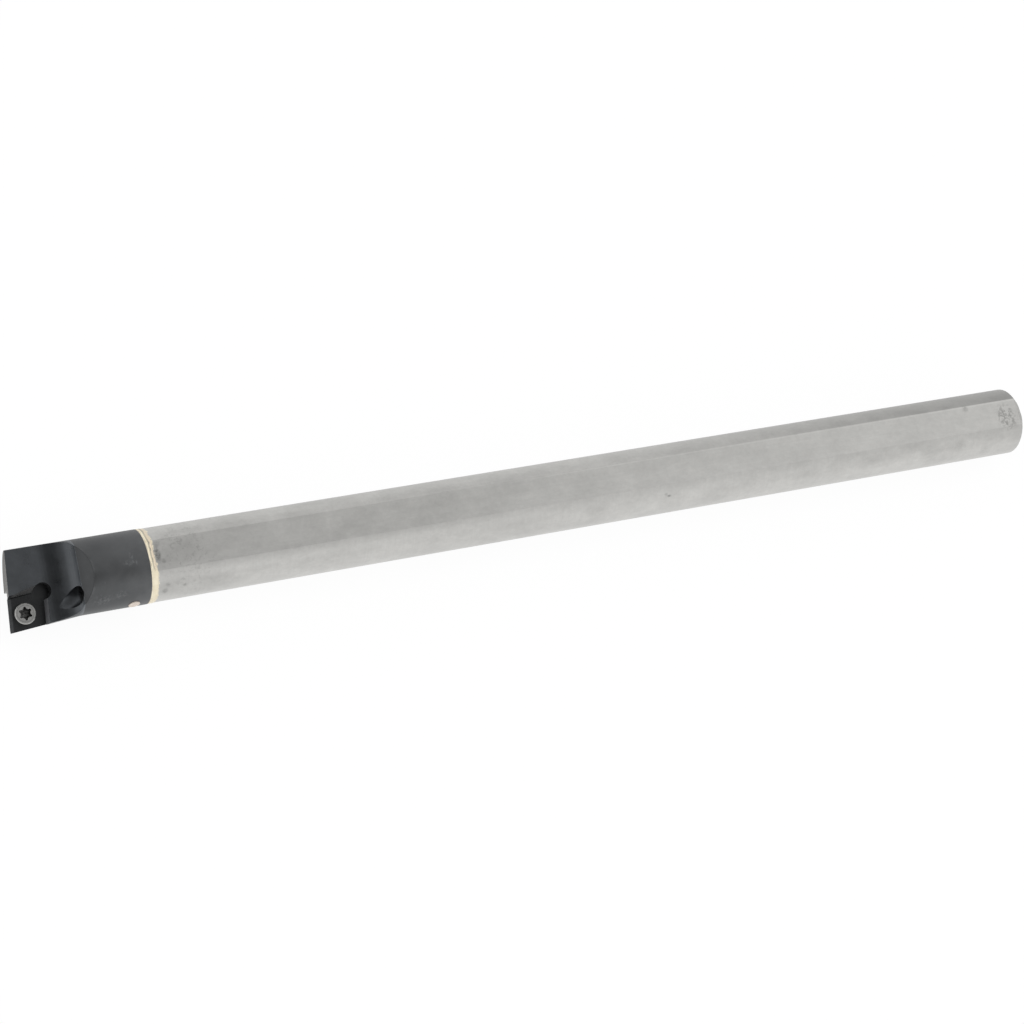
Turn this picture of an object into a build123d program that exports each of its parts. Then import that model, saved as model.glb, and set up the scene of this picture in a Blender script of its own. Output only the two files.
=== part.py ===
from build123d import *
import os
from math import cos, radians, sin, tan

# Coolant-through boring bar, right hand, for an 80 degree rhombic insert with 7 degree flanks.
# A ground carbide shank carries a steel head, brazed on face to face. The pocket is empty and
# the insert screw stands in its tapped hole.
# Frame: the origin is the centre of the tail face, the bar's axis lies along X with the head
# at -X, the shank's flat and the rake side face +Z, and the cutting corner stands out at -Y.

# ---- driving dimensions, millimetres and degrees -------------------------------------------
overall_length = 203.2          # cutting corner to tail face
shank_diameter = 12.7
shank_flat_depth = 0.6          # one flat along the whole shank
tail_chamfer = 0.5
coolant_bore = 4.0              # through the shank, along its axis

head_stand = 0.08               # head above the shank's round side, all round
head_length = 23.95             # cutting corner to joint face
corner_reach = 7.9              # cutting corner to the bar's axis
lead_angle = 5.0                # end edge off square, side edge off the axis
rake_tilt = 10.0                # seat turned about the bar's axis, down toward the corner

insert_circle = 6.35            # inscribed circle of the insert
insert_thickness = 2.38
insert_flank = 7.0
insert_corner_angle = 80.0
long_wall_clearance = 0.1       # pocket walls off the insert's flanks
short_wall_clearance = 0.43
long_wall_flare = 9.5           # upper edge of the long wall off its foot, in plan,
flare_start = 1.0               # from this far behind the cutting corner
flare_length = 4.7              # and on into the corner relief
flare_setback = 0.02            # foot of the flare in from the long wall's foot
support_setback = 0.1           # front of the seat behind the insert's lower edge
support_relief = 20.0           # slope of the front under the seat
support_step = 1.5              # that slope ends this far past the long wall
front_setback = 0.2             # front edge of the deck behind the insert's end edge
front_relief = 8.0              # slope of the front face beside the pocket

deck_drop = 0.25                # deck below the insert's top face
gullet_start = 8.2              # from the cutting corner to where the floor starts to rise
gullet_radius = 4.5
gullet_wall_angle = 70.0        # slope where the gullet's curve ends
ramp_angle = 52.0               # run-out of the gullet up to the head's round side

nose_shift = 1.08               # axis of the raised nose off the bar's axis, at the cutting corner
nose_undersize = 0.03           # nose radius under the head's, so it fades out inside the head

corner_relief_diameter = 2.9    # clearance for the insert's far corner, down to the seat
relief_setback_side = 0.52      # its axis in from the short wall's foot
relief_setback_end = 0.33       # and in from the long wall's foot
groove_diameter = 0.35          # run-out groove along the foot of the long wall

screw_thread = 2.5
screw_head_diameter = 3.6
screw_rim = 0.25
screw_cone_length = 1.2
screw_length = 5.4
screw_stand = 1.2               # head face above the empty seat
screw_lead = 0.2                # screw axis off the insert's centre, toward the cutting corner
screw_rim_chamfer = 0.12
screw_tip_chamfer = 0.25
screw_hole_chamfer = 0.3        # mouth of the tapped hole, at the seat
thread_clearance = 0.025        # between screw and tapped hole, each side
recess_lobes = 6
recess_reach = 2.3              # across opposite lobes
recess_waist = 1.66             # across opposite flutes
recess_flute_radius = 0.5
recess_lobe_fillet = 0.1
recess_depth = 1.2

jet_diameter = 2.96             # coolant exit
jet_plan_angle = 22.0           # toward the cutting corner, in plan
jet_drop_angle = 5.2            # falling toward the insert
jet_aim_x = 11.0                # a point on the jet's axis: behind the cutting corner,
jet_aim_y = -4.0                # off the bar's axis,
jet_aim_z = 2.04                # and above it

chamber_diameter = 7.6          # coolant chamber in the head, open at the joint
chamber_depth = 6.2
drill_point = 118.0
drill_web = 0.4                 # chisel edge of the chamber's drill

braze_film = 0.2
joint_bevel_length = 1.0        # bevel round the shank's front, flat included, filled with braze
joint_bevel_depth = 0.4
braze_proud = 0.03              # braze above the shank's round side

vent_diameter = 2.0             # braze vent, filled with braze
vent_setback = 2.67             # vent axis in front of the joint face
vent_angle = 174.0              # around the bar's axis, from +Y
vent_plug_length = 1.2
vent_plug_crown = 0.1           # plug above the head's round side

# ---- derived places -------------------------------------------------------------------------
shank_radius = shank_diameter / 2
head_radius = shank_radius + head_stand
head_diameter = 2 * head_radius
bore_radius = coolant_bore / 2
chamber_radius = chamber_diameter / 2
front_x = -overall_length
joint_x = front_x + head_length
shank_front_x = joint_x + braze_film
bevel_end_x = shank_front_x + joint_bevel_length
flat_z = shank_radius - shank_flat_depth
reach = 4 * head_diameter       # longer than any cut needs

# The rake plane is turned about the bar's axis. Its local x runs along the bar, its local z
# stands square to the seat, and its origin is on the axis, level with the cutting corner.
rake = Plane(origin=(front_x, 0, 0), x_dir=(1, 0, 0),
             z_dir=(0, -sin(radians(rake_tilt)), cos(radians(rake_tilt))))
corner_y = -corner_reach * cos(radians(rake_tilt))
top_z = corner_reach * sin(radians(rake_tilt))
seat_z = top_z - insert_thickness
deck_z = top_z - deck_drop

# Unit steps along the insert's two cutting edges, from the cutting corner, in the rake plane.
side_step = Vector(cos(radians(lead_angle)), sin(radians(lead_angle)))
end_step = Vector(sin(radians(lead_angle)), cos(radians(lead_angle)))
edge_length = insert_circle / sin(radians(insert_corner_angle))
flank_shift = insert_thickness * tan(radians(insert_flank))
across_to_edge = 1 / sin(radians(insert_corner_angle))


def on_insert(along_side, along_end):
    """Point of the rake plane, measured along the two cutting edges from the corner."""
    step = side_step * along_side + end_step * along_end
    return Vector(step.X, corner_y + step.Y)


screw_centre = on_insert(edge_length / 2 - screw_lead, edge_length / 2 - screw_lead)
short_wall_foot = edge_length - (flank_shift - short_wall_clearance) * across_to_edge
long_wall_foot = edge_length - (flank_shift - long_wall_clearance) * across_to_edge
inner_foot_corner = on_insert(short_wall_foot, long_wall_foot)
relief_radius = corner_relief_diameter / 2
relief_along_side = short_wall_foot - relief_setback_side
relief_centre = on_insert(relief_along_side, long_wall_foot - relief_setback_end)
groove_end = on_insert(relief_along_side - relief_radius, long_wall_foot)
wall_rise = deck_z - seat_z
wall_lean = wall_rise * tan(radians(insert_flank)) * across_to_edge


def flare_point(along_side, rise):
    """Point of the flared long wall, at a rise above the seat."""
    widening = (along_side - flare_start) * tan(radians(long_wall_flare))
    spread = (flare_setback + wall_lean + widening) * rise / wall_rise
    return on_insert(along_side, long_wall_foot - flare_setback + spread)


# Profiles square to the bar and square to the end edge. In both, local y stands off the seat.
profile_plane = Plane(origin=rake.origin, x_dir=rake.x_dir, z_dir=-rake.y_dir)
end_direction = rake.x_dir * end_step.X + rake.y_dir * end_step.Y
side_direction = rake.x_dir * side_step.X + rake.y_dir * side_step.Y
front_profile = Plane(origin=rake.from_local_coords(on_insert(0, long_wall_foot)),
                      x_dir=end_direction.cross(rake.z_dir), z_dir=-end_direction)


# ---- shank ------------------------------------------------------------------------------------
with BuildPart() as shank:
    with BuildSketch(Plane.XY):
        with BuildLine():
            Polyline((shank_front_x, bore_radius),
                     (shank_front_x, shank_radius - joint_bevel_depth),
                     (bevel_end_x, shank_radius),
                     (-tail_chamfer, shank_radius), (0, shank_radius - tail_chamfer),
                     (0, bore_radius), close=True)
        make_face()
    revolve(axis=Axis.X)
    # the flat, with the joint's bevel carried across it
    with BuildSketch(Plane.XZ):
        with BuildLine():
            Polyline((shank_front_x, flat_z - joint_bevel_depth), (bevel_end_x, flat_z),
                     (0, flat_z), (0, shank_diameter), (shank_front_x, shank_diameter),
                     close=True)
        make_face()
    extrude(amount=shank_diameter, both=True, mode=Mode.SUBTRACT)
shank.part.label = "shank"

# ---- head -------------------------------------------------------------------------------------
nose_length = nose_shift / sin(radians(lead_angle))
nose_plane = Plane(origin=(front_x, -nose_shift, 0), x_dir=(0, 1, 0),
                  z_dir=(cos(radians(lead_angle)), sin(radians(lead_angle)), 0))
gullet_end_x = gullet_start + gullet_radius * sin(radians(gullet_wall_angle))
gullet_end_z = deck_z + gullet_radius * (1 - cos(radians(gullet_wall_angle)))
ramp_rise = head_diameter
chamber_end_x = joint_x - chamber_depth
drill_point_length = (chamber_radius - drill_web / 2) / tan(radians(drill_point / 2))
jet_direction = Vector(-cos(radians(jet_drop_angle)) * cos(radians(jet_plan_angle)),
                       -cos(radians(jet_drop_angle)) * sin(radians(jet_plan_angle)),
                       -sin(radians(jet_drop_angle)))
jet_point = Vector(front_x + jet_aim_x, jet_aim_y, jet_aim_z)
jet_run_back = (chamber_end_x + jet_diameter - jet_point.X) / -jet_direction.X
vent_plane = Plane(origin=(joint_x - vent_setback, 0, 0), x_dir=(1, 0, 0),
                   z_dir=(0, cos(radians(vent_angle)), sin(radians(vent_angle))))
support_front = flank_shift + support_setback
support_drop = head_diameter    # depth of the front cuts, past the underside
front_edge_z = top_z + insert_circle

with BuildPart() as head:
    with BuildSketch(Plane.YZ.offset(front_x)):
        Circle(head_radius)
    extrude(amount=head_length)

    # raised nose: a round whose axis is turned by the lead angle and ends on the bar's axis
    with BuildSketch(nose_plane):
        Circle(head_radius - nose_undersize)
    extrude(amount=nose_length)

    # deck, gullet and run-out in one profile, cut across the head square to the rake plane
    with BuildSketch(profile_plane):
        with BuildLine():
            deck_line = Line((-head_radius, deck_z), (gullet_start, deck_z))
            gullet_arc = CenterArc((gullet_start, deck_z + gullet_radius), gullet_radius,
                                   -90, gullet_wall_angle)
            ramp_line = Line(gullet_arc @ 1,
                             (gullet_end_x + ramp_rise / tan(radians(ramp_angle)),
                              gullet_end_z + ramp_rise))
            Polyline(ramp_line @ 1, (-head_radius, gullet_end_z + ramp_rise), deck_line @ 0)
        make_face()
    extrude(amount=reach, both=True, mode=Mode.SUBTRACT)

    # front squared off along the insert's end edge
    with BuildSketch(front_profile):
        with Locations((front_setback, 0)):
            Rectangle(reach, 2 * reach, align=(Align.MAX, Align.CENTER))
    extrude(amount=reach, both=True, mode=Mode.SUBTRACT)

    # front face beside the pocket, parallel to the insert's end flank
    with BuildSketch(front_profile):
        with BuildLine():
            Polyline((front_setback - (front_edge_z - deck_z) * tan(radians(front_relief)),
                      front_edge_z),
                     (front_setback + (deck_z + support_drop) * tan(radians(front_relief)),
                      -support_drop),
                     (-reach, -support_drop), (-reach, front_edge_z), close=True)
        make_face()
    extrude(amount=-reach, mode=Mode.SUBTRACT)

    # front under the seat, sloped back from the insert's lower edge
    with BuildSketch(front_profile.offset(-support_step)):
        with BuildLine():
            Polyline((support_front, seat_z),
                     (support_front + (seat_z + support_drop) * tan(radians(support_relief)),
                      -support_drop),
                     (-reach, -support_drop), (-reach, seat_z), close=True)
        make_face()
    extrude(amount=reach, mode=Mode.SUBTRACT)

    # insert pocket: its two walls lean out with the insert's flanks
    with BuildSketch(rake.offset(seat_z)):
        with BuildLine():
            Polyline(inner_foot_corner, on_insert(-reach, long_wall_foot),
                     on_insert(-reach, -reach), on_insert(short_wall_foot, -reach), close=True)
        make_face()
    extrude(amount=head_diameter, taper=-insert_flank, mode=Mode.SUBTRACT)

    # the long wall opens out toward the far corner: a ruled cut whose outline at the seat, and
    # at twice the wall's height, is a triangle from the flared wall to the screw's axis
    flare_end = flare_start + flare_length
    for rise in (0, 2 * wall_rise):
        with BuildSketch(rake.offset(seat_z + rise)):
            with BuildLine():
                Polyline(flare_point(0, rise), flare_point(flare_end, rise),
                         screw_centre, close=True)
            make_face()
    loft(ruled=True, mode=Mode.SUBTRACT)

    # clearance for the insert's far corner
    with BuildSketch(rake.offset(seat_z)):
        with Locations(relief_centre):
            Circle(relief_radius)
    extrude(amount=head_diameter, mode=Mode.SUBTRACT)

    # run-out groove along the foot of the long wall, up to the corner relief
    with BuildSketch(Plane(origin=rake.from_local_coords(
            Vector(groove_end.X, groove_end.Y, seat_z)), z_dir=side_direction)):
        Circle(groove_diameter / 2)
    extrude(amount=-reach, mode=Mode.SUBTRACT)

    # tapped hole for the insert screw, through to the underside
    with BuildSketch(rake.offset(-head_diameter)):
        with Locations(screw_centre):
            Circle(screw_thread / 2 + thread_clearance)
    extrude(amount=2 * head_diameter, mode=Mode.SUBTRACT)
    with BuildSketch(rake.offset(seat_z)):
        with Locations(screw_centre):
            Circle(screw_thread / 2 + screw_hole_chamfer)
    extrude(amount=-screw_hole_chamfer, taper=45, mode=Mode.SUBTRACT)

    # coolant chamber with its drill point
    with BuildSketch(Plane.XY):
        with BuildLine():
            Polyline((joint_x, 0), (joint_x, chamber_radius),
                     (chamber_end_x, chamber_radius),
                     (chamber_end_x - drill_point_length, drill_web / 2),
                     (chamber_end_x - drill_point_length, 0), close=True)
        make_face()
    revolve(axis=Axis.X, mode=Mode.SUBTRACT)

    # coolant exit, aimed along the gullet at the cutting corner
    with BuildSketch(Plane(origin=jet_point - jet_direction * jet_run_back,
                           z_dir=jet_direction)):
        Circle(jet_diameter / 2)
    extrude(amount=reach, mode=Mode.SUBTRACT)

    # braze vent
    with BuildSketch(vent_plane):
        Circle(vent_diameter / 2)
    extrude(amount=head_diameter, mode=Mode.SUBTRACT)
head.part.label = "head"

# ---- braze ------------------------------------------------------------------------------------
# Film between the two faces, and the fillet round the shank's front bevel. Over the flat the
# fillet slopes down from the head's rim.
with BuildPart() as braze_ring:
    with BuildSketch(Plane.XY):
        with BuildLine():
            Polyline((joint_x, chamber_radius), (joint_x, head_radius),
                     (bevel_end_x, shank_radius + braze_proud),
                     (bevel_end_x, chamber_radius), close=True)
        make_face()
    revolve(axis=Axis.X)
    with BuildSketch(Plane.XZ):
        with BuildLine():
            Polyline((joint_x, head_radius), (bevel_end_x, flat_z + braze_proud),
                     (bevel_end_x, head_diameter), (joint_x, head_diameter), close=True)
        make_face()
    extrude(amount=head_diameter, both=True, mode=Mode.SUBTRACT)
    add(shank.part, mode=Mode.SUBTRACT)
    with BuildSketch(Plane.YZ.offset(shank_front_x)):
        Circle(chamber_radius)
    extrude(amount=joint_bevel_length, mode=Mode.SUBTRACT)
braze_ring.part.label = "braze_ring"

plug_foot = head_radius - vent_plug_length
with BuildPart() as braze_plug:
    with BuildSketch(vent_plane.offset(plug_foot)):
        Circle(vent_diameter / 2)
    extrude(amount=vent_plug_length + vent_plug_crown)
braze_plug.part.label = "braze_plug"

# ---- insert screw -----------------------------------------------------------------------------
screw_head_radius = screw_head_diameter / 2
screw_plane = rake.offset(seat_z + screw_stand)
screw_base = Plane(origin=screw_plane.from_local_coords(screw_centre),
                   x_dir=rake.x_dir, z_dir=rake.z_dir)
screw_section = Plane(origin=screw_base.origin, x_dir=rake.x_dir, z_dir=-rake.y_dir)
with BuildPart() as insert_screw:
    with BuildSketch(screw_section):
        with BuildLine():
            Polyline((0, 0), (screw_head_radius - screw_rim_chamfer, 0),
                     (screw_head_radius, -screw_rim_chamfer),
                     (screw_head_radius, -screw_rim),
                     (screw_thread / 2, -screw_rim - screw_cone_length),
                     (screw_thread / 2, screw_tip_chamfer - screw_length),
                     (screw_thread / 2 - screw_tip_chamfer, -screw_length),
                     (0, -screw_length), close=True)
        make_face()
    revolve(axis=Axis(screw_base.origin, rake.z_dir))
    with BuildSketch(screw_base) as recess:
        Circle(recess_reach / 2)
        with PolarLocations(recess_waist / 2 + recess_flute_radius, recess_lobes):
            Circle(recess_flute_radius, mode=Mode.SUBTRACT)
        fillet(recess.vertices(), recess_lobe_fillet)
    extrude(amount=-recess_depth, mode=Mode.SUBTRACT)
insert_screw.part.label = "insert_screw"

os.makedirs("parts", exist_ok=True)
export_step(shank.part, "parts/shank.step")
export_step(head.part, "parts/head.step")
export_step(braze_ring.part, "parts/braze_ring.step")
export_step(braze_plug.part, "parts/braze_plug.step")
export_step(insert_screw.part, "parts/insert_screw.step")
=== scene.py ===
"""Looks of a brazed boring bar: ground carbide shank, black steel head, braze and insert screw."""

import math

import bpy
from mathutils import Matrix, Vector


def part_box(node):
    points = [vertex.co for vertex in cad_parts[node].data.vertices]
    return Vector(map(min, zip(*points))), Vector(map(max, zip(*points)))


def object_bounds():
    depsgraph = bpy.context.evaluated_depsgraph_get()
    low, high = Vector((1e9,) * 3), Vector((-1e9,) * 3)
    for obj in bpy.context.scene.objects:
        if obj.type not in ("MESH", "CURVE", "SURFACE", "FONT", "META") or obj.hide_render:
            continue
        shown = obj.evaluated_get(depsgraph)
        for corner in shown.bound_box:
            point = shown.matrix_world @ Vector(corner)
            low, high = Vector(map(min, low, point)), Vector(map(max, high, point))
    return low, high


bl_info = {
    "name": "Boring Bar Finish",
    "version": (1, 0, 0),
    "blender": (4, 5, 0),
    "location": "3D View > Sidebar > Boring Bar",
    "description": "Dresses the solids of a brazed carbide boring bar and lights them",
    "category": "Object",
}

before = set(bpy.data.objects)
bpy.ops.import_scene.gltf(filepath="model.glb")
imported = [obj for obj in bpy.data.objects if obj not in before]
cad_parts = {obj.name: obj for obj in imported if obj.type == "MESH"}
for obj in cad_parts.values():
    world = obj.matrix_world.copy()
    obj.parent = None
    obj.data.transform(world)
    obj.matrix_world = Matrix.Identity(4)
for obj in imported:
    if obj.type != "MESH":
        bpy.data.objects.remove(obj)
cad_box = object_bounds()
shank_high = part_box("shank")[1]
ring_low, ring_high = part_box("braze_ring")

# The rake plane is turned 10 degrees about the bar's axis. A place on the head is given by how far
# it lies behind the cutting corner, across the rake plane, and above the axis square to it.
MM = 0.001
CORNER_X = -203.2 * MM
CORNER_ACROSS = -7.78 * MM
DECK_ABOVE = 1.122 * MM
SEAT_ABOVE = -1.008 * MM
LEAD = math.radians(5)
RAKE_TILT = math.radians(10)
BEHIND = (1, 0, 0)
ACROSS = (0, math.cos(RAKE_TILT), math.sin(RAKE_TILT))
ABOVE = (0, -math.sin(RAKE_TILT), math.cos(RAKE_TILT))
WHITE = (1, 1, 1, 1)


# ---- node helpers --------------------------------------------------------------------------------
class Nodes:
    """Adds nodes to a tree, from left to right, and links them."""

    def __init__(self, tree):
        self.tree = tree
        self.column = 0

    def node(self, kind, links=(), **settings):
        made = self.tree.nodes.new(kind)
        self.column += 1
        made.location = (-1400 + 60 * self.column, -60 * (self.column % 12))
        for key, value in settings.items():
            setattr(made, key, value)
        for socket, source in dict(links).items():
            self.feed(made.inputs[socket], source)
        return made

    def feed(self, socket, source):
        """Links a socket to the source, or sets its value."""
        if isinstance(source, bpy.types.NodeSocket):
            self.tree.links.new(source, socket)
        else:
            socket.default_value = source

    def ranged(self, value, low, high, to_low=0.0, to_high=1.0, smooth=False):
        made = self.node("ShaderNodeMapRange", {0: value, 1: low, 2: high, 3: to_low, 4: to_high})
        if smooth:
            made.interpolation_type = "SMOOTHSTEP"
        return made.outputs[0]

    def math(self, operation, first, second=0.5, clamp=False):
        made = self.node("ShaderNodeMath", {0: first, 1: second}, operation=operation,
                         use_clamp=clamp)
        return made.outputs[0]

    def plus(self, first, second):
        return self.math("ADD", first, second)

    def minus(self, first, second):
        return self.math("SUBTRACT", first, second)

    def larger(self, first, second):
        return self.math("MAXIMUM", first, second)

    def product(self, *factors):
        result = factors[0]
        for factor in factors[1:]:
            result = self.math("MULTIPLY", result, factor)
        return result

    def blend(self, factor, first, second):
        """Moves between two numbers."""
        made = self.node("ShaderNodeMix", {0: factor, 2: first, 3: second}, data_type="FLOAT")
        return made.outputs[0]

    def mixed(self, factor, first, second, blend="MIX"):
        """Moves between two colours."""
        made = self.node("ShaderNodeMix", {0: factor, 6: first, 7: second}, data_type="RGBA",
                         blend_type=blend)
        return made.outputs[2]

    def vector(self, operation, first, second=(0, 0, 0)):
        return self.node("ShaderNodeVectorMath", {0: first, 1: second}, operation=operation)

    def ramp(self, value, stops):
        """Smooth greys through (position, grey) stops."""
        made = self.node("ShaderNodeValToRGB", {0: value})
        made.color_ramp.interpolation = "EASE"
        elements = made.color_ramp.elements
        while len(elements) > 1:
            elements.remove(elements[-1])
        for index, (position, grey) in enumerate(stops):
            element = elements[0] if index == 0 else elements.new(position)
            element.position = position
            element.color = (grey, grey, grey, 1.0)
        return made.outputs["Color"]


class Finish(Nodes):
    """A material under construction, its patterns placed in Object coordinates."""

    def __init__(self, name):
        old = bpy.data.materials.get(name)
        if old:
            bpy.data.materials.remove(old)
        self.material = bpy.data.materials.new(name)
        self.material.use_nodes = True
        super().__init__(self.material.node_tree)
        self.tree.nodes.clear()
        self.output = self.node("ShaderNodeOutputMaterial")
        self.shader = self.node("ShaderNodeBsdfPrincipled")
        self.tree.links.new(self.shader.outputs["BSDF"], self.output.inputs["Surface"])
        self.place = self.node("ShaderNodeTexCoord").outputs["Object"]

    def set(self, **sockets):
        for name, value in sockets.items():
            self.feed(self.shader.inputs[name.replace("_", " ")], value)
        return self.material

    def mapped(self, scale=(1, 1, 1), location=(0, 0, 0)):
        made = self.node("ShaderNodeMapping", {0: self.place, "Scale": scale,
                                               "Location": location})
        return made.outputs[0]

    def noise(self, scale, detail=2.0, roughness=0.5, distortion=0.0, stretch=(1, 1, 1)):
        made = self.node("ShaderNodeTexNoise", {
            "Vector": self.mapped(stretch), "Scale": scale, "Detail": detail,
            "Roughness": roughness, "Distortion": distortion})
        return made.outputs["Fac"]

    def axes(self):
        return self.node("ShaderNodeSeparateXYZ", {0: self.place}).outputs[:3]

    def along(self, axis, start=0.0, source=None):
        """Distance from a plane square to the axis."""
        dot = self.vector("DOT_PRODUCT", source or self.place, axis)
        return self.minus(dot.outputs["Value"], start)

    def near(self, point, radius, falloff=0.5, scale=(1, 1, 1)):
        """1 inside a soft round spot about a point given in millimetres, 0 outside it."""
        centred = self.mapped(scale, [-p * MM * s for p, s in zip(point, scale)])
        length = self.vector("LENGTH", centred).outputs["Value"]
        return self.ranged(length, radius * falloff * MM, radius * MM, 1.0, 0.0, True)

    def band(self, value, edges):
        """1 between the two middle edges, 0 outside the outer two."""
        rise = self.ranged(value, edges[0], edges[1])
        return self.product(rise, self.ranged(value, edges[2], edges[3], 1.0, 0.0))

    def curve(self, value, stops):
        """Smooth curve through (place, level) stops, level at most 2."""
        first, last = stops[0][0], stops[-1][0]
        halves = [((place - first) / (last - first), level / 2) for place, level in stops]
        return self.product(self.ramp(self.ranged(value, first, last), halves), 2.0)

    def scaled(self, tone, level):
        return self.node("ShaderNodeVectorMath", {0: tone, "Scale": level},
                         operation="SCALE").outputs[0]

    def dimmed(self, level, mask, share):
        """The level, times the share where the mask is 1."""
        return self.product(level, self.ranged(mask, 0.0, 1.0, 1.0, share))

    def bead(self, value, middle, half_width):
        """Height of a rounded bead: 1 along its middle, 0 at its edges and beyond."""
        off = self.math("DIVIDE", self.minus(value, middle), half_width)
        return self.math("SUBTRACT", 1.0, self.product(off, off), clamp=True)

    def bump(self, height, distance, strength, normal=None):
        links = {"Height": height, "Distance": distance, "Strength": strength}
        if normal is not None:
            links["Normal"] = normal
        return self.node("ShaderNodeBump", links).outputs[0]


def toned(colour, *shares):
    """The colour times one share, or a share for each channel, with full alpha."""
    if len(shares) == 1:
        shares *= 3
    return (*[c * s for c, s in zip(colour, shares)], 1.0)


def around(middle, inner, outer):
    """Edges of a band on both sides of a place."""
    return (middle - outer, middle - inner, middle + inner, middle + outer)


def dress(node, material):
    """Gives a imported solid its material."""
    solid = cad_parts[node]
    solid.data.materials.clear()
    solid.data.materials.append(material)


# ---- shank ---------------------------------------------------------------------------------------
# The flat, by height, and the painted highlight along its far edge, by width and by where along the
# bar it begins.
FLAT_EDGE = (shank_high.z - 0.02 * MM, shank_high.z - 0.005 * MM)
FLAT_FAR_EDGE = (2.36 * MM, 2.44 * MM, 2.6 * MM, 2.66 * MM)
EDGE_HIGHLIGHT_BEGINS = (-120 * MM, -100 * MM)
# The round side behind the flat, by width and height, and the stretch over which its painted shade
# deepens.
PAST_FAR_EDGE = (2.72 * MM, 2.8 * MM)
BACK_RISE = 1.5 * MM
BACK_SHADE_SPAN = (-85 * MM, -5 * MM)
# Handling marks near the tail and specks near the joint: middle and radius in millimetres,
# falloff and stretch. The marks on the tail's rim go by place along the bar.
TAIL_RUB = ((-3.5, -0.7, 5.75), 3.4, 0.35, (1.1, 1, 1))
JOINT_RASH = ((-172.5, -0.5, 5.5), 6.5, 0.3, (1, 0.7, 0.5))
TAIL_RIM = (shank_high.x - 0.75 * MM, shank_high.x - 0.45 * MM)
# How far the braze has run past its ring, at most.
BRAZE_RUN = 0.42 * MM
# Stains on the shank: middle and radius in millimetres, share of darkening, and stretch along the
# three axes.
SHANK_STAINS = (((-177.5, 0.1, 5.75), 0.85, 0.6, (1.1, 0.5, 1)),
                ((-176.7, -1.1, 5.75), 0.6, 0.3, (1, 1, 1)),
                ((-177.3, 1.9, 5.75), 0.9, 0.25, (1, 1, 1)),
                ((-176.9, -5.6, 3.0), 0.9, 0.3, (1.2, 1, 1)),
                ((-80.6, -4.3, 4.7), 0.5, 0.3, (1, 1, 1)),
                ((-79.9, -4.55, 4.43), 0.42, 0.5, (0.7, 1.6, 1)),
                ((-12.3, 2.2, 5.75), 0.9, 0.3, (1, 1, 1)),
                ((-15.1, -4.6, 4.4), 2.2, 0.1, (1, 1, 1)),
                ((-8.5, -5.8, 2.6), 2.0, 0.14, (1, 1, 1)),
                ((-2.2, 0.5, 5.75), 0.7, 0.25, (1, 1, 1)),
                ((-173.4, -5.3, 3.5), 0.5, 0.25, (1, 1, 1)),
                ((-176.4, -4.9, 4.0), 0.6, 0.25, (1, 1, 1)))
# Broad changes of tone along the shank: middle and radius in millimetres, level and stretch.
SHANK_TONES = (((-171.0, 0.2, 5.75), 9.0, 0.91, (1, 3.2, 1)),
               ((-172.0, -5.4, 3.4), 9.5, 0.9, (1, 2.4, 2.4)),
               ((-123.0, 1.2, 5.75), 26.0, 0.955, (1, 6, 1)),
               ((-75.0, -2.6, 5.4), 24.0, 1.06, (1, 5, 5)))


def shank_back(finish, x, y, z):
    """1 on the round side behind the flat, but not on the tail's end face."""
    return finish.product(finish.ranged(y, *PAST_FAR_EDGE),
                          finish.ranged(z, -BACK_RISE, BACK_RISE, smooth=True),
                          finish.ranged(x, shank_high.x - 0.3 * MM, shank_high.x - 0.4 * MM))


def shank_marks(finish, x, level, specks, blots):
    """Stains, broad tones, rubbing at the tail and a rash of specks near the joint."""
    for middle, radius, share, stretch in SHANK_STAINS:
        stain = finish.product(finish.near(middle, radius, 0.2, stretch),
                               finish.ranged(specks, 0.4, 0.56, 0.4, 1.0))
        level = finish.dimmed(level, stain, 1.0 - share)
    for middle, radius, share, stretch in SHANK_TONES:
        level = finish.dimmed(level, finish.near(middle, radius, 0.3, stretch), share)
    tail_rub = finish.product(finish.near(*TAIL_RUB), finish.ranged(blots, 0.46, 0.57))
    level = finish.dimmed(level, tail_rub, 0.62)
    tail_rim = finish.product(finish.ranged(x, *TAIL_RIM), finish.ranged(specks, 0.42, 0.58))
    level = finish.dimmed(level, tail_rim, 0.78)
    rash = finish.product(finish.near(*JOINT_RASH), finish.ranged(blots, 0.53, 0.64))
    return finish.dimmed(level, rash, 0.84)


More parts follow.
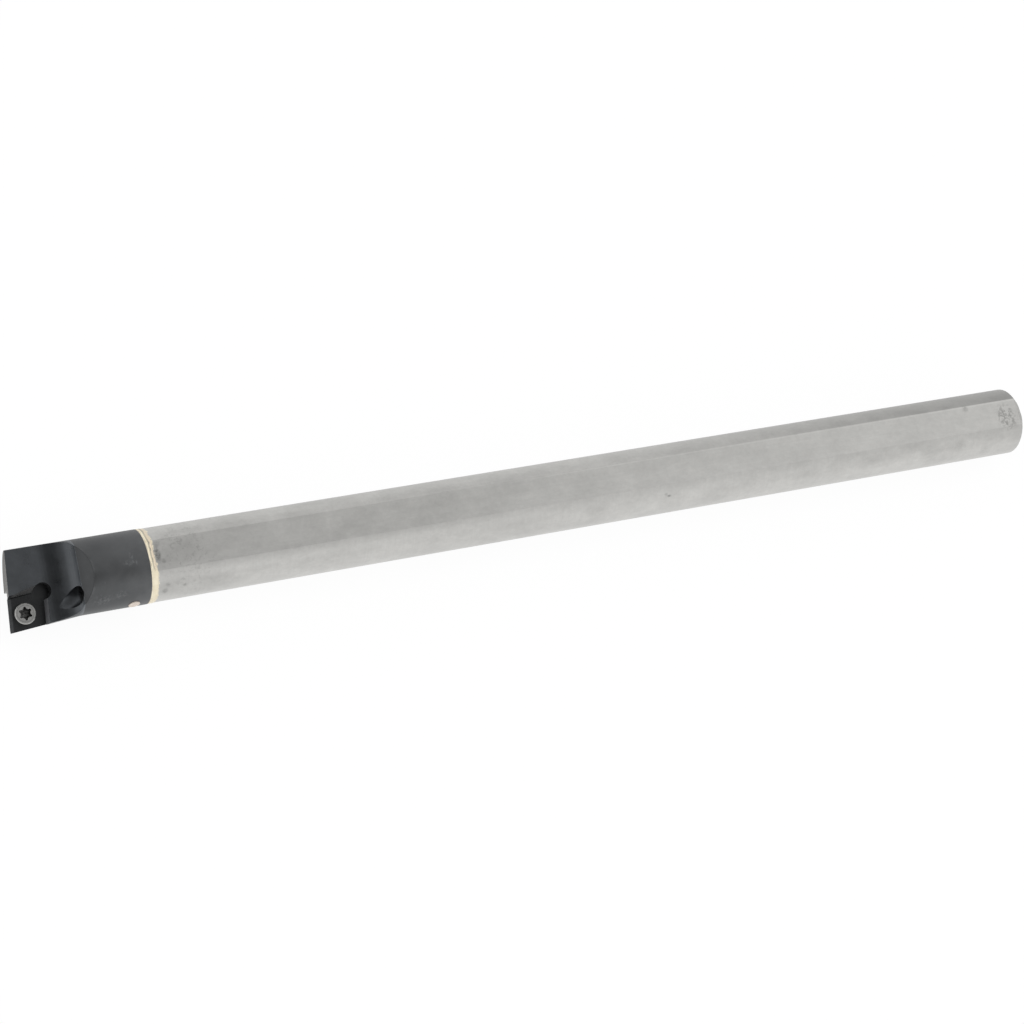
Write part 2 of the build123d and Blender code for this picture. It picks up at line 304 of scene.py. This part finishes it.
def ground_carbide(settings):
    """Ground round, with rings on the round side and draw lines along the flat."""
    finish = Finish("ground_carbide")
    x, y, z = finish.axes()
    cloud = finish.noise(260, 5, 0.62, stretch=(0.6, 1, 1))
    patch = finish.noise(75, 2, 0.5, stretch=(0.5, 1, 1))
    mottle = finish.noise(1500, 4, 0.7, stretch=(0.8, 1, 1))
    rings = finish.noise(5200, 2, 0.6, stretch=(1, 0.02, 0.02))
    draw = finish.noise(3200, 3, 0.6, stretch=(0.012, 1, 1))
    specks = finish.noise(3000, 3, 0.65, 0.4)
    blots = finish.noise(1300, 4, 0.65, 0.8)
    dark = toned(settings.carbide_colour, 0.84)
    pale = toned(settings.carbide_colour, 1.09)
    tone = finish.mixed(finish.ranged(cloud, 0.3, 0.7), dark, pale)
    tone = finish.mixed(finish.ranged(patch, 0.35, 0.7, 0.0, 0.22), tone, dark)
    on_flat = finish.ranged(z, *FLAT_EDGE)
    streak = finish.blend(on_flat, rings, draw)
    tone = finish.mixed(finish.ranged(streak, 0.3, 0.75, 0.0, 0.3), tone, dark)

    # the round side behind the flat takes painted shade, deeper toward the tail, and the flat's far
    # edge a painted highlight
    back_shade = finish.ranged(x, *BACK_SHADE_SPAN, 1.0, 0.68)
    level = finish.blend(shank_back(finish, x, y, z), 1.0, back_shade)
    far_edge_highlight = finish.product(on_flat, finish.band(y, FLAT_FAR_EDGE),
                              finish.ranged(x, *EDGE_HIGHLIGHT_BEGINS))
    level = finish.blend(far_edge_highlight, level, 1.07)
    level = finish.product(level, finish.ranged(mottle, 0.3, 0.7, 0.955, 1.045))
    tone = finish.scaled(tone, shank_marks(finish, x, level, specks, blots))

    # braze has run a little way past the ring, over the carbide
    run = finish.minus(finish.minus(x, ring_high.x),
                       finish.ranged(blots, 0.42, 0.7, 0.0, BRAZE_RUN))
    run = finish.ranged(run, 0.04 * MM, -0.04 * MM)
    tone = finish.mixed(run, tone, toned(settings.braze_colour, 0.86))
    rough = finish.ranged(cloud, 0.3, 0.7, settings.carbide_roughness - 0.05,
                          settings.carbide_roughness + 0.06)
    normal = finish.bump(streak, 0.004 * MM, 0.5)
    return finish.set(Base_Color=tone, Metallic=finish.ranged(run, 0.0, 1.0, 1.0, 0.3),
                      Roughness=rough, Normal=normal)


# ---- head ----------------------------------------------------------------------------------------
# Painted shade and highlight on the gullet, by how far behind the cutting corner it lies, in
# millimetres: painted dark along its foot, and painted bright up to the edge of the run-out.
GULLET_SHADING_STOPS = ((6.6, 1.0), (7.1, 0.84), (7.6, 0.66), (8.1, 0.45), (8.6, 0.47), (9.05, 0.68),
                (9.5, 0.82), (10.4, 0.72), (10.9, 0.7), (11.3, 0.82), (11.66, 0.93), (12.0, 1.22),
                (12.22, 1.65), (12.43, 1.9))
# The run-out is a plane, from the gullet's end up to the round side: a point on it, and its slope.
RUNOUT_BEHIND = 12.429 * MM
RUNOUT_ABOVE = 4.083 * MM
RUNOUT_SLOPE = math.radians(52)
# Bright scuffs on the head: middle and radius in millimetres, and stretch along the three axes.
HEAD_SCUFFS = (((-182.2, 0.4, 6.4), 0.55, (1, 0.5, 1)), ((-182.0, -0.4, 6.4), 0.45, (1, 0.6, 1)),
               ((-182.9, -0.7, 6.38), 0.8, (0.6, 1, 1)), ((-181.5, -0.8, 6.38), 0.4, (1.6, 0.5, 1)),
               ((-187.36, -3.17, 5.59), 0.2, (1.4, 0.7, 1)),
               ((-187.9, -5.5, 3.3), 1.7, (0.6, 1, 1)), ((-184.5, -5.2, 3.8), 1.2, (0.8, 1, 1)))
# Zones of the head: the gullet's end behind the corner, the round side's radius, where the pocket
# begins behind its front edge, and the places and the lean of its two walls.
GULLET_END = 12.45 * MM
HEAD_RADIUS = 6.43 * MM
FRONT_EDGE = 1.1 * MM
LONG_WALL = (5.6 * MM, 5.8 * MM, 7.8 * MM, 8.0 * MM)
SHORT_WALL = 6.486 * MM
FLANK_LEAN = 0.1228
# Painted light: the pocket's two walls get their own matt tones, which show them lit instead of
# mirroring the dark seat.
SHORT_WALL_LIT_TONE = (0.125, 0.128, 0.135, 1.0)
LONG_WALL_LIT_TONE = (0.085, 0.085, 0.086, 1.0)
FRONT_TONES = ((0.1, 0.095, 0.089, 1.0), (0.155, 0.147, 0.137, 1.0))
GULLET_TINT = (0.93, 1.0, 1.09)
# What the blasted round side and the matt faces add to the roughness of the milled cuts.
ROUND_ROUGHNESS = 0.14
MATT_ROUGHNESS = 0.25
# The edges are painted lighter over this width, partly as rubbed wear and partly as painted
# highlight.
EDGE_WIDTH = 0.09 * MM


class HeadPlaces:
    """Where a point of the head lies, by the rake plane, the cutting edges and the axis."""

    def __init__(self, finish):
        self.behind = finish.along(BEHIND, CORNER_X)
        self.across = finish.along(ACROSS, CORNER_ACROSS)
        self.above = finish.along(ABOVE)
        # along_side and along_end run along the two cutting edges, as in the solid
        self.along_side = finish.minus(finish.product(self.behind, math.cos(LEAD)),
                                       finish.product(self.across, math.sin(LEAD)))
        self.along_end = finish.minus(finish.product(self.across, math.cos(LEAD)),
                                      finish.product(self.behind, math.sin(LEAD)))
        self.spoke = finish.vector("LENGTH", finish.mapped((0, 1, 1))).outputs["Value"]
        self.normal = finish.node("ShaderNodeNewGeometry").outputs["Normal"]
        self.below_deck = finish.ranged(self.above, DECK_ABOVE - 0.05 * MM, DECK_ABOVE - 0.1 * MM)
        self.past_front = finish.ranged(self.along_side, FRONT_EDGE - 0.2 * MM, FRONT_EDGE)
        over_deck = finish.ranged(self.above, DECK_ABOVE - 0.1 * MM, DECK_ABOVE - 0.03 * MM)
        self.in_gullet = finish.product(over_deck, finish.ranged(
            self.behind, GULLET_END + 0.01 * MM, GULLET_END))


def gullet_shading(finish, at, cloud):
    """Painted shade and highlight on the gullet, on the run-out at its end, and on their rims."""
    level = finish.curve(at.behind, [(place * MM, level) for place, level in GULLET_SHADING_STOPS])
    level = finish.blend(at.in_gullet, 1.0, level)
    slope = (math.sin(RUNOUT_SLOPE), math.cos(RUNOUT_SLOPE))
    off_runout = finish.along((-slope[0] * BEHIND[0], slope[1] * ABOVE[1], slope[1] * ABOVE[2]),
                              slope[1] * RUNOUT_ABOVE - slope[0] * (CORNER_X + RUNOUT_BEHIND))
    on_runout = finish.product(finish.band(off_runout, around(0, 0.02 * MM, 0.04 * MM)),
                               finish.ranged(at.behind, GULLET_END - 0.02 * MM,
                                             GULLET_END + 0.01 * MM))
    # painted shade: the run-out is darker, with a painted dark line along its rim
    level = finish.blend(on_runout, level,
                         finish.ranged(at.behind, 12.5 * MM, 13.2 * MM, 0.6, 0.69))
    runout_rim_shade = finish.product(on_runout, finish.ranged(at.spoke, HEAD_RADIUS - 0.25 * MM,
                                                         HEAD_RADIUS - 0.05 * MM))
    level = finish.blend(runout_rim_shade, level, 0.6)
    # painted dark line flecked with painted glints, where the run-out meets the round side
    round_rim_shade_and_glint = finish.product(finish.ranged(at.spoke, HEAD_RADIUS - 0.02 * MM,
                                             HEAD_RADIUS - 0.005 * MM),
                               finish.ranged(at.behind, 12.6 * MM, 13.5 * MM),
                               finish.band(off_runout, (-0.34 * MM, -0.16 * MM,
                                                        0.01 * MM, 0.05 * MM)))
    return finish.blend(round_rim_shade_and_glint, level, finish.ranged(cloud, 0.4, 0.65, 0.9, 1.2))


def seat_shading(finish, at, level):
    """The seat and the corner relief are darker, with painted shade that deepens toward the short
    wall and is darkest in the pocket's corner.
    """
    on_seat = finish.band(at.above, around(SEAT_ABOVE, 0.05 * MM, 0.1 * MM))
    in_pocket = finish.product(on_seat, at.past_front,
                               finish.ranged(at.along_end, 7.6 * MM, 7.4 * MM))
    # painted shade, deepening toward the short wall
    shade = finish.ranged(at.along_side, 4.0 * MM, 6.3 * MM, 0.45, 0.38, True)
    return finish.blend(in_pocket, level, shade)


def matt_faces(finish, at):
    """Masks of the end of the head and of the pocket's long and short walls."""
    facing_front = finish.ranged(finish.along((-1, 0, 0), 0.0, at.normal), 0.9, 0.95)
    front_face = finish.product(at.below_deck, facing_front,
                                finish.ranged(at.along_side, 1.5 * MM, 1.3 * MM),
                                finish.ranged(at.along_end, 6.4 * MM, 6.5 * MM))
    off_seat = finish.ranged(at.above, SEAT_ABOVE + 0.02 * MM, SEAT_ABOVE + 0.1 * MM)
    long_wall = finish.product(at.below_deck, off_seat, at.past_front,
                               finish.ranged(at.along_side, 5.0 * MM, 4.8 * MM),
                               finish.band(at.along_end, LONG_WALL))
    lean = finish.product(finish.minus(at.above, SEAT_ABOVE), FLANK_LEAN)
    off_wall = finish.minus(finish.minus(at.along_side, lean), SHORT_WALL)
    short_wall = finish.band(off_wall, around(0, 0.04 * MM, 0.08 * MM))
    short_wall = finish.product(short_wall, at.below_deck, off_seat,
                                finish.ranged(at.along_end, 5.0 * MM, 4.8 * MM))
    return front_face, long_wall, short_wall


def head_wear_and_edge_highlight(finish, at, level, specks):
    """Bright scuffs, and edges painted lighter: partly rubbed wear, partly painted highlight."""
    scuffed = None
    for middle, radius, stretch in HEAD_SCUFFS:
        spot = finish.near(middle, radius, 0.1, stretch)
        scuffed = spot if scuffed is None else finish.larger(scuffed, spot)
    scuffed = finish.product(scuffed, finish.ranged(specks, 0.46, 0.6))
    level = finish.dimmed(level, scuffed, 1.5)
    round_edge = finish.node("ShaderNodeBevel", {"Radius": EDGE_WIDTH}, samples=4).outputs[0]
    turned = finish.vector("DOT_PRODUCT", round_edge, at.normal).outputs["Value"]
    # painted edge highlight, partly rubbed wear
    rubbed_edge_highlight = finish.product(finish.ranged(turned, 0.985, 0.9), finish.ranged(specks, 0.42, 0.56))
    return finish.dimmed(level, rubbed_edge_highlight, 1.45)


def black_oxide(settings):
    """Blasted round side, smoother milled cuts, and matt end and pocket walls, with painted shade
    and light on the cuts, the seat, the walls and the edges.
    """
    finish = Finish("black_oxide")
    at = HeadPlaces(finish)
    cloud = finish.noise(420, 5, 0.6)
    patch = finish.noise(120, 2, 0.5)
    mill = finish.noise(5200, 2, 0.6, stretch=(1, 0.03, 0.03))
    specks = finish.noise(2300, 4, 0.65, 0.5)
    broad = finish.ranged(cloud, 0.35, 0.7)

    level = seat_shading(finish, at, gullet_shading(finish, at, cloud))
    level = head_wear_and_edge_highlight(finish, at, level, specks)
    # the head is a little paler toward the joint
    paler = finish.ranged(at.behind, 15 * MM, 23.9 * MM, 1.0, 1.28, True)
    pale = toned(settings.oxide_colour, 1.12)
    tone = finish.mixed(broad, toned(settings.oxide_colour, 0.86), pale)
    tone = finish.mixed(finish.ranged(patch, 0.35, 0.65, 0.0, 0.3), tone, pale)
    tone = finish.scaled(tone, finish.product(level, paler))
    tone = finish.mixed(finish.product(at.in_gullet, 0.5), tone,
                        finish.vector("MULTIPLY", tone, GULLET_TINT).outputs[0])
    front_face, long_wall, short_wall = matt_faces(finish, at)
    # painted light on the pocket's walls, by their own matt tones
    tone = finish.mixed(short_wall, tone, SHORT_WALL_LIT_TONE)
    tone = finish.mixed(long_wall, tone, LONG_WALL_LIT_TONE)
    tone = finish.mixed(front_face, tone, finish.mixed(broad, *FRONT_TONES))

    matt = finish.larger(front_face, finish.larger(long_wall, short_wall))
    on_round = finish.ranged(at.spoke, HEAD_RADIUS - 0.13 * MM, HEAD_RADIUS - 0.05 * MM)
    rough = finish.blend(on_round, settings.oxide_roughness,
                         settings.oxide_roughness + ROUND_ROUGHNESS)
    rough = finish.plus(rough, finish.ranged(cloud, 0.3, 0.7, -0.04, 0.06))
    rough = finish.plus(rough, finish.product(matt, MATT_ROUGHNESS))
    return finish.set(Base_Color=tone, Metallic=finish.ranged(matt, 0.0, 1.0, 0.85, 0.1),
                      Roughness=rough, Normal=finish.bump(mill, 0.006 * MM, 0.35))


# ---- braze ---------------------------------------------------------------------------------------
# Tones of the braze as shares of its colour, and the colours of its seam and its rims; the rim by
# the head is painted shade where the ring meets the head. The seam's edges and the middles and half
# widths of the beads are measured from the head's end of the joint.
BRAZE_DARK = (0.8, 0.76, 0.68)
BRAZE_TAN = (0.82, 0.78, 0.77)
SEAM_COLOUR = (0.34, 0.33, 0.27, 1.0)
RIM_SHADE_AND_EDGE_COLOUR = (0.5, 0.46, 0.43, 1.0)
SEAM = (0.42 * MM, 0.5 * MM, 0.66 * MM, 0.78 * MM)
SIDE_BEAD = (0.6 * MM, 0.62 * MM)
HEAD_BEAD = (0.29 * MM, 0.29 * MM)
SHANK_BEAD = (0.94 * MM, 0.28 * MM)
BEAD_HEIGHT = 0.1 * MM


def silver_braze(settings):
    """Bright next to the head and tan toward the shank, with a sunk seam between over the flat."""
    finish = Finish("silver_braze")
    lump = finish.noise(900, 4, 0.6, 0.4)
    grain = finish.noise(3600, 3, 0.6)
    x, y, z = finish.axes()
    past_joint = finish.plus(finish.minus(x, ring_low.x),
                             finish.ranged(lump, 0.3, 0.7, -0.12 * MM, 0.12 * MM))
    over_flat = finish.product(finish.ranged(y, -2.7 * MM, -2.0 * MM), finish.ranged(z, 0, MM))
    seam = finish.product(over_flat, finish.band(past_joint, SEAM))
    tan_side = finish.product(over_flat, finish.ranged(past_joint, 0.6 * MM, 0.75 * MM))
    tone = finish.mixed(finish.ranged(lump, 0.38, 0.7, 0.4, 1.0),
                        toned(settings.braze_colour, *BRAZE_DARK),
                        (*settings.braze_colour, 1.0))
    tone = finish.mixed(tan_side, tone, toned(settings.braze_colour, *BRAZE_TAN))
    tone = finish.mixed(finish.product(seam, finish.ranged(lump, 0.3, 0.6, 1.0, 0.55)), tone,
                        SEAM_COLOUR)
    # painted shade along the rim by the head; the rim by the shank is greyer
    rim_shade_and_edge = finish.larger(finish.ranged(past_joint, 0.1 * MM, 0.02 * MM),
                         finish.ranged(past_joint, 1.08 * MM, 1.2 * MM))
    tone = finish.mixed(finish.product(rim_shade_and_edge, 0.5), tone, RIM_SHADE_AND_EDGE_COLOUR)
    # one rounded bead low on the side, and two with the seam between them over the flat
    beads = finish.larger(finish.bead(past_joint, *HEAD_BEAD),
                          finish.bead(past_joint, *SHANK_BEAD))
    beads = finish.blend(over_flat, finish.bead(past_joint, *SIDE_BEAD), beads)
    lumps = finish.bump(lump, 0.12 * MM, 0.6, finish.bump(grain, 0.01 * MM, 0.4))
    normal = finish.bump(beads, BEAD_HEIGHT, 0.9, lumps)
    return finish.set(Base_Color=tone, Metallic=0.25, Roughness=0.36, Normal=normal)


def filled_vent(settings):
    finish = Finish("filled_vent")
    grain = finish.noise(2400, 4, 0.6)
    tone = finish.mixed(finish.ranged(grain, 0.35, 0.7), toned(settings.vent_colour, 0.78),
                        (*settings.vent_colour, 1.0))
    normal = finish.bump(grain, 0.02 * MM, 0.5)
    return finish.set(Base_Color=tone, Metallic=0.5, Roughness=0.5, Normal=normal)


# ---- insert screw --------------------------------------------------------------------------------
# The screw's axis, by its place on the rake plane, the height of its face, the edges of the fine
# ring and of the recess from its axis, and the step between the turning lines.
SCREW_BEHIND = 3.276 * MM
SCREW_ABOVE = SEAT_ABOVE + 1.2 * MM
SCREW_RING = (1.31 * MM, 1.38 * MM, 1.42 * MM, 1.5 * MM)
RECESS_EDGE = (1.22 * MM, 1.18 * MM)
TURNING_STEP = 0.09 * MM


def turned_steel(settings):
    """Turned face with a fine ring, and a recess painted dark as shade, with painted glints."""
    finish = Finish("turned_steel")
    grain = finish.noise(2600, 3, 0.6)
    behind = finish.along(BEHIND, CORNER_X + SCREW_BEHIND)
    across = finish.along(ACROSS, CORNER_ACROSS + SCREW_BEHIND)
    depth = finish.minus(SCREW_ABOVE, finish.along(ABOVE))
    spoke = finish.math("SQRT", finish.plus(finish.math("POWER", behind, 2.0),
                                            finish.math("POWER", across, 2.0)))
    face = finish.ranged(depth, 0.03 * MM, 0.01 * MM)
    ring = finish.product(face, finish.band(spoke, SCREW_RING))
    recess = finish.product(finish.ranged(spoke, *RECESS_EDGE),
                            finish.ranged(depth, 0.02 * MM, 0.3 * MM))
    tone = finish.mixed(finish.ranged(grain, 0.35, 0.7), toned(settings.screw_colour, 0.8),
                        (*settings.screw_colour, 1.0))
    # painted shade in the recess, flecked with painted glints
    recess_shade_and_glints = finish.ranged(grain, 0.4, 0.65, 0.1, 0.42)
    level = finish.product(finish.ranged(ring, 0.0, 1.0, 1.0, 0.66),
                           finish.blend(recess, 1.0, recess_shade_and_glints))
    tone = finish.scaled(tone, level)
    turning = finish.math("SINE", finish.product(spoke, 2 * math.pi / TURNING_STEP))
    height = finish.plus(grain, finish.product(face, turning, 0.3))
    normal = finish.bump(height, 0.006 * MM, 0.4)
    return finish.set(Base_Color=tone, Metallic=1.0, Roughness=0.42, Normal=normal)


# ---- settings ------------------------------------------------------------------------------------
def colour(name, description, default):
    return bpy.props.FloatVectorProperty(name=name, description=description, default=default,
                                         size=3, min=0.0, max=1.0, subtype="COLOR")


def share(name, description, default):
    return bpy.props.FloatProperty(name=name, description=description, default=default,
                                   min=0.0, max=1.0, subtype="FACTOR")


class BoringBarFinishes(bpy.types.PropertyGroup):
    """Colours and sheens of the bar's metals"""

    carbide_colour: colour("Carbide", "Ground face of the carbide shank", (0.6, 0.595, 0.575))
    carbide_roughness: share("Carbide Roughness", "Blur of the ground carbide", 0.36)
    oxide_colour: colour("Black Oxide", "Blackened steel of the head", (0.101, 0.104, 0.107))
    oxide_roughness: share("Oxide Roughness", "Blur of the blackened steel", 0.3)
    braze_colour: colour("Braze", "Silver braze in the joint", (1.0, 0.91, 0.71))
    vent_colour: colour("Vent Braze", "Braze that fills the head's vent", (0.9, 0.79, 0.7))
    screw_colour: colour("Screw Steel", "Bare steel of the insert screw", (0.5, 0.5, 0.485))


class BoringBarStudio(bpy.types.PropertyGroup):
    """Floor, lamps and camera"""

    floor_drop: bpy.props.FloatProperty(
        name="Floor Drop", description="Floor below the bar's lowest point", default=0.0,
        min=0.0, subtype="DISTANCE", unit="LENGTH")
    lens: bpy.props.FloatProperty(
        name="Lens", description="Focal length of the camera in millimetres", default=90.28,
        min=10.0)
    key_power: bpy.props.FloatProperty(
        name="Key Power", description="Power of the softbox beside the bar", default=0.25, min=0.0,
        subtype="POWER", unit="POWER")
    fill_power: bpy.props.FloatProperty(
        name="Fill Power", description="Power of the fill light over the bar", default=1.3,
        min=0.0, subtype="POWER", unit="POWER")
    world_level: bpy.props.FloatProperty(
        name="World Level", description="Brightness of the even light from all round",
        default=1.1, min=0.0)
    overhead_gap: bpy.props.FloatVectorProperty(
        name="Overhead Gap", description="Direction of the dark gap above the bar",
        default=(-0.26, -0.16, 0.95), subtype="DIRECTION")
    far_side: bpy.props.FloatVectorProperty(
        name="Far Side", description="Direction of the dimmer side, behind the bar",
        default=(0, 1, 0), subtype="DIRECTION")
    near_side: bpy.props.FloatVectorProperty(
        name="Near Side", description="Direction of the slightly dimmer side, in front of the bar",
        default=(0.2, -0.9, 0.4), subtype="DIRECTION")


# ---- studio --------------------------------------------------------------------------------------
# Brightness of the surroundings by the angle, in degrees, from the middle of each soft veil.
OVERHEAD_STOPS = ((9, 0.03), (16, 0.17), (24, 0.43), (34, 0.47), (40, 0.55), (44.5, 0.64),
                  (48, 0.74), (51, 0.9), (56, 1.0))
FAR_SIDE_STOPS = ((30, 0.7), (55, 0.78), (80, 1.0))
NEAR_SIDE_STOPS = ((40, 0.8), (75, 1.0))

# The floor glows, so that it stays an even pale tone, and as mirrored in the metal it is painted
# dimmer behind the bar: a painted reflection.
FLOOR_SIZE = 6
FLOOR_TONE = (0.92, 0.92, 0.92, 1.0)
FLOOR_GLOW = 1.02
FLOOR_SHOWN = 0.92
FLOOR_MIRRORED = (2 * MM, 14 * MM, 0.92, 0.3)

SOFTBOX_PLACE = (-0.75, 0.45)
SOFTBOX_SIZE = (0.8, 0.5)
FILL_HEIGHT = 0.6
FILL_SIZE = (0.8, 0.6)

CAMERA_PLACE = (-0.30273, -0.10481, 0.40780)
CAMERA_TURN = (19.3946, -20.9660, -16.4058)
SENSOR_WIDTH = 36


def white_floor():
    finish = Finish("white_floor")
    finish.set(Base_Color=FLOOR_TONE, Roughness=0.9)
    glow = finish.node("ShaderNodeEmission", {"Color": WHITE, "Strength": FLOOR_GLOW})
    path = finish.node("ShaderNodeLightPath").outputs
    mirrored = finish.product(path["Is Glossy Ray"],
                              finish.ranged(finish.along((0, 1, 0)), *FLOOR_MIRRORED, True))
    shown = finish.product(finish.larger(path["Is Camera Ray"], path["Is Transmission Ray"]),
                           FLOOR_SHOWN)
    surface = finish.node("ShaderNodeMixShader", {
        0: finish.larger(shown, mirrored), 1: finish.shader.outputs[0], 2: glow.outputs[0]})
    finish.tree.links.new(surface.outputs[0], finish.output.inputs["Surface"])
    return finish.material


def lamp(name, place, aim, size, power):
    light = bpy.data.lights.new(name, "AREA")
    light.shape = "RECTANGLE"
    light.size, light.size_y = size
    light.energy = power
    made = bpy.data.objects.new(name, light)
    bpy.context.scene.collection.objects.link(made)
    made.location = place
    made.rotation_euler = (Vector(aim) - Vector(place)).to_track_quat("-Z", "Y").to_euler()
    return made


def studio_world(settings):
    """Even white light, dimmed by three soft veils: overhead, the far side and the near side."""
    world = bpy.data.worlds.new("studio")
    world.use_nodes = True
    nodes = Nodes(world.node_tree)
    direction = nodes.node("ShaderNodeTexCoord").outputs["Generated"]
    level = None
    for centre, stops in ((settings.overhead_gap, OVERHEAD_STOPS),
                          (settings.far_side, FAR_SIDE_STOPS),
                          (settings.near_side, NEAR_SIDE_STOPS)):
        toward = nodes.vector("DOT_PRODUCT", direction, Vector(centre).normalized())
        veil = nodes.ramp(toward.outputs["Value"], [(math.cos(math.radians(angle)), grey)
                                                    for angle, grey in reversed(stops)])
        level = veil if level is None else nodes.mixed(1.0, level, veil, "MULTIPLY")
    camera_ray = nodes.node("ShaderNodeLightPath").outputs["Is Camera Ray"]
    background = nodes.tree.nodes["Background"]
    nodes.feed(background.inputs["Color"], nodes.mixed(camera_ray, level, WHITE))
    nodes.feed(background.inputs["Strength"], settings.world_level)
    return world


def place_camera(scene, lens):
    camera = bpy.data.cameras.new("camera")
    viewer = bpy.data.objects.new("camera", camera)
    scene.collection.objects.link(viewer)
    viewer.location = CAMERA_PLACE
    viewer.rotation_euler = [math.radians(a) for a in CAMERA_TURN]
    camera.sensor_width = SENSOR_WIDTH
    camera.lens = lens
    camera.clip_start = 0.01
    scene.camera = viewer


# ---- operators -----------------------------------------------------------------------------------
class BORINGBAR_OT_shank(bpy.types.Operator):
    """Finish the carbide shank"""

    bl_idname = "boringbar.shank"
    bl_label = "Finish Shank"

    def execute(self, context):
        dress("shank", ground_carbide(context.scene.boring_bar_finishes))
        return {"FINISHED"}


class BORINGBAR_OT_head(bpy.types.Operator):
    """Finish the blackened steel head"""

    bl_idname = "boringbar.head"
    bl_label = "Finish Head"

    def execute(self, context):
        dress("head", black_oxide(context.scene.boring_bar_finishes))
        return {"FINISHED"}


class BORINGBAR_OT_braze(bpy.types.Operator):
    """Finish the brazed joint and the filled vent"""

    bl_idname = "boringbar.braze"
    bl_label = "Finish Braze"

    def execute(self, context):
        settings = context.scene.boring_bar_finishes
        dress("braze_ring", silver_braze(settings))
        dress("braze_plug", filled_vent(settings))
        return {"FINISHED"}


class BORINGBAR_OT_screw(bpy.types.Operator):
    """Finish the insert screw"""

    bl_idname = "boringbar.screw"
    bl_label = "Finish Insert Screw"

    def execute(self, context):
        dress("insert_screw", turned_steel(context.scene.boring_bar_finishes))
        return {"FINISHED"}


class BORINGBAR_OT_stage(bpy.types.Operator):
    """Lay the floor, set the lamps and the world, and place the camera"""

    bl_idname = "boringbar.stage"
    bl_label = "Set Stage"

    def execute(self, context):
        scene = context.scene
        settings = scene.boring_bar_studio
        bpy.ops.object.select_all(action="DESELECT")
        floor_z = cad_box[0][2] - settings.floor_drop
        middle_x = (cad_box[0][0] + cad_box[1][0]) / 2
        middle = (middle_x, 0, 0)
        bpy.ops.mesh.primitive_plane_add(size=FLOOR_SIZE, location=(middle_x, 0, floor_z))
        floor = context.object
        floor.name = "floor"
        floor.data.materials.append(white_floor())
        bpy.ops.object.transform_apply(location=True, rotation=True, scale=True)

        lamp("side_softbox", (middle_x, *SOFTBOX_PLACE), middle, SOFTBOX_SIZE, settings.key_power)
        # not mirrored, so that the metal keeps its dark reflection of the gap overhead
        fill = lamp("top_fill", (middle_x, 0, FILL_HEIGHT), middle, FILL_SIZE,
                    settings.fill_power)
        fill.visible_glossy = False
        scene.world = studio_world(settings)
        place_camera(scene, settings.lens)
        scene.view_settings.view_transform = "Standard"
        return {"FINISHED"}


class BORINGBAR_PT_panel(bpy.types.Panel):
    """Lists the bar's pieces, its finishes and the studio"""

    bl_label = "Boring Bar"
    bl_space_type = "VIEW_3D"
    bl_region_type = "UI"
    bl_category = "Boring Bar"

    def draw(self, context):
        for operator in OPERATORS:
            self.layout.operator(operator.bl_idname)
        for group in (context.scene.boring_bar_finishes, context.scene.boring_bar_studio):
            box = self.layout.box()
            for name in group.__annotations__:
                box.prop(group, name)


OPERATORS = (BORINGBAR_OT_shank, BORINGBAR_OT_head, BORINGBAR_OT_braze, BORINGBAR_OT_screw,
             BORINGBAR_OT_stage)
CLASSES = (BoringBarFinishes, BoringBarStudio, *OPERATORS, BORINGBAR_PT_panel)


def register():
    for made in CLASSES:
        bpy.utils.register_class(made)
    bpy.types.Scene.boring_bar_finishes = bpy.props.PointerProperty(type=BoringBarFinishes)
    bpy.types.Scene.boring_bar_studio = bpy.props.PointerProperty(type=BoringBarStudio)


def unregister():
    del bpy.types.Scene.boring_bar_studio
    del bpy.types.Scene.boring_bar_finishes
    for made in reversed(CLASSES):
        bpy.utils.unregister_class(made)


def main():
    register()
    for operator in OPERATORS:
        group, name = operator.bl_idname.split(".")
        getattr(getattr(bpy.ops, group), name)()


if __name__ == "__main__":
    main()
